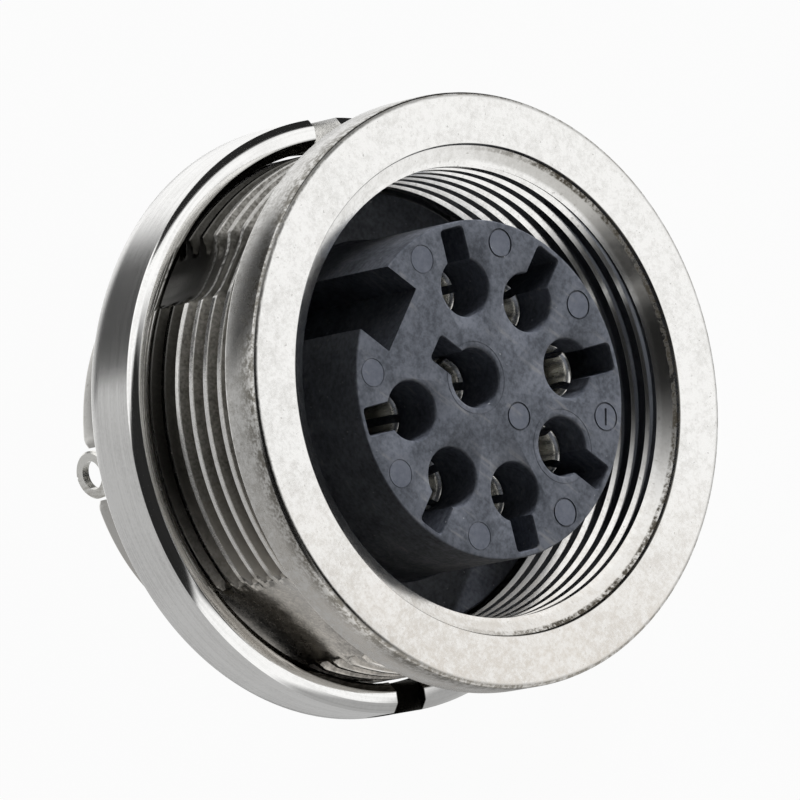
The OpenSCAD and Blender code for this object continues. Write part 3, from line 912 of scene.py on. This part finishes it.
def softEnds(values, softLow, softHigh):
    low = np.clip((values - values[0]) / softLow, 0, 1)
    high = np.clip((values[-1] - values) / softHigh, 0, 1)
    return (low * low * (3 - 2 * low)) * (high * high * (3 - 2 * high))


def onlyMirrored(name, rows, coverRows, coverCols, level):
    plate, tree, out = stagePlate(name, rows)
    plate.visible_camera = False
    plate.visible_diffuse = False
    plate.visible_shadow = False
    plate.visible_transmission = False
    cover = np.outer(coverRows, coverCols)
    plate.data.attributes.new("cover", "FLOAT", "POINT").data.foreach_set("value", cover.ravel())
    share = put(tree, "Attribute", outlet=2, attribute_name="cover")
    tone = put(tree, "Emission", Color=(1, 1, 1, 1), Strength=level)
    clear = put(tree, "BsdfTransparent")
    tree.links.new(put(tree, "MixShader", in0=share, in1=clear, in2=tone), out.inputs[0])


def makeFlag(flag, s):
    soft = flag["soft"]
    turn = np.linspace(*flag["turn"], 45)
    rise = np.linspace(*flag["rise"], 37)
    rows = []
    for e in np.radians(rise):
        a = np.radians(turn) + flag.get("lean", 0) * (e - math.radians(rise[0]))
        reach = s["flagReach"] * mm
        if e < -0.02:  # the foot of the flag lies on the floor
            reach = min(reach, (s["floorZ"] + s["flagLift"]) * mm / math.sin(e))
        level = [np.sin(a) * math.cos(e), -np.cos(a) * math.cos(e), 0 * a + math.sin(e)]
        rows.append(np.stack(level, -1) * reach)
    onlyMirrored(flag["name"], rows, softEnds(rise, *soft[2:]), softEnds(turn, *soft[:2]), flag["tone"])


def makeShade(shade, s):
    # the shadow under the part, as the metal mirrors it
    xs = np.linspace(*shade["x"], 25)
    ys = np.linspace(*shade["y"], 25)
    z = (s["floorZ"] + s["shadeLift"]) * mm
    rows = [[(x * mm, y * mm, z) for x in xs] for y in ys]
    soft = shade["soft"]
    onlyMirrored("underShade", rows, softEnds(ys, *soft[2:]), softEnds(xs, *soft[:2]), shade["tone"])


def makeLamp(lamp):
    data = bpy.data.lights.new(lamp["name"], "AREA")
    data.energy = lamp["power"]
    data.shape = "RECTANGLE"
    data.size, data.size_y = lamp["size"]
    item = bpy.data.objects.new(lamp["name"], data)
    item.location = lamp["at"]
    item.rotation_mode = "QUATERNION"
    item.rotation_quaternion = Vector(lamp["at"]).to_track_quat("Z", "Y")
    item.visible_glossy = False
    bpy.context.scene.collection.objects.link(item)


def makeStudio(s):
    world = bpy.data.worlds.new("studio")
    bpy.context.scene.world = world
    world.use_nodes = True
    tree = world.node_tree
    tree.nodes.clear()
    out = tree.nodes.new("ShaderNodeOutputWorld")
    strength = spread(tree, seenDirectly(tree), 0, 1, s["world"], 1.0)
    tree.links.new(put(tree, "Background", Color=(1, 1, 1, 1), Strength=strength), out.inputs[0])

    z = s["floorZ"] * mm
    floor, tree, out = stagePlate("floor", [[(-3, y, z), (3, y, z)] for y in (-3, 3)])
    matte = put(tree, "BsdfDiffuse", Color=(*[s["floorTone"]] * 3, 1))
    glow = put(tree, "Emission", Color=(1, 1, 1, 1), Strength=1.0)
    hold = calc(tree, "MULTIPLY", seenDirectly(tree), s["floorHold"])
    tree.links.new(put(tree, "MixShader", in0=hold, in1=matte, in2=glow), out.inputs[0])
    for lamp in s["lamps"]:
        makeLamp(lamp)
    for flag in s["flags"]:
        makeFlag(flag, s)
    makeShade(s["shade"], s)


makeStudio(studio)
print("studio made")


# camera at the photograph's angle, nearly without perspective

cameraLook = dict(right=(0.3581, -0.6267, -0.6922), up=(0.8292, -0.1273, 0.5443), distance=400.0,
                  lens=541.8, faceAt=(0.0, -1.6, 0.0), aside=(2.999, 0.357))


def makeCamera(s):
    right = Vector(s["right"]).normalized()
    up = Vector(s["up"])
    up = (up - right * up.dot(right)).normalized()
    back = right.cross(up)
    spot = Vector(s["faceAt"]) - right * s["aside"][0] - up * s["aside"][1] + back * s["distance"]
    data = bpy.data.cameras.new("camera")
    data.sensor_fit = "HORIZONTAL"
    data.sensor_width = 36.0
    data.lens = s["lens"]
    data.clip_start = 0.01
    data.clip_end = 20
    camera = bpy.data.objects.new("camera", data)
    camera.matrix_world = Matrix.Translation(spot * mm) @ Matrix((right, up, back)).transposed().to_4x4()
    bpy.context.scene.collection.objects.link(camera)
    bpy.context.scene.camera = camera


makeCamera(cameraLook)
bpy.context.scene.view_settings.view_transform = "Standard"
bpy.context.view_layer.update()
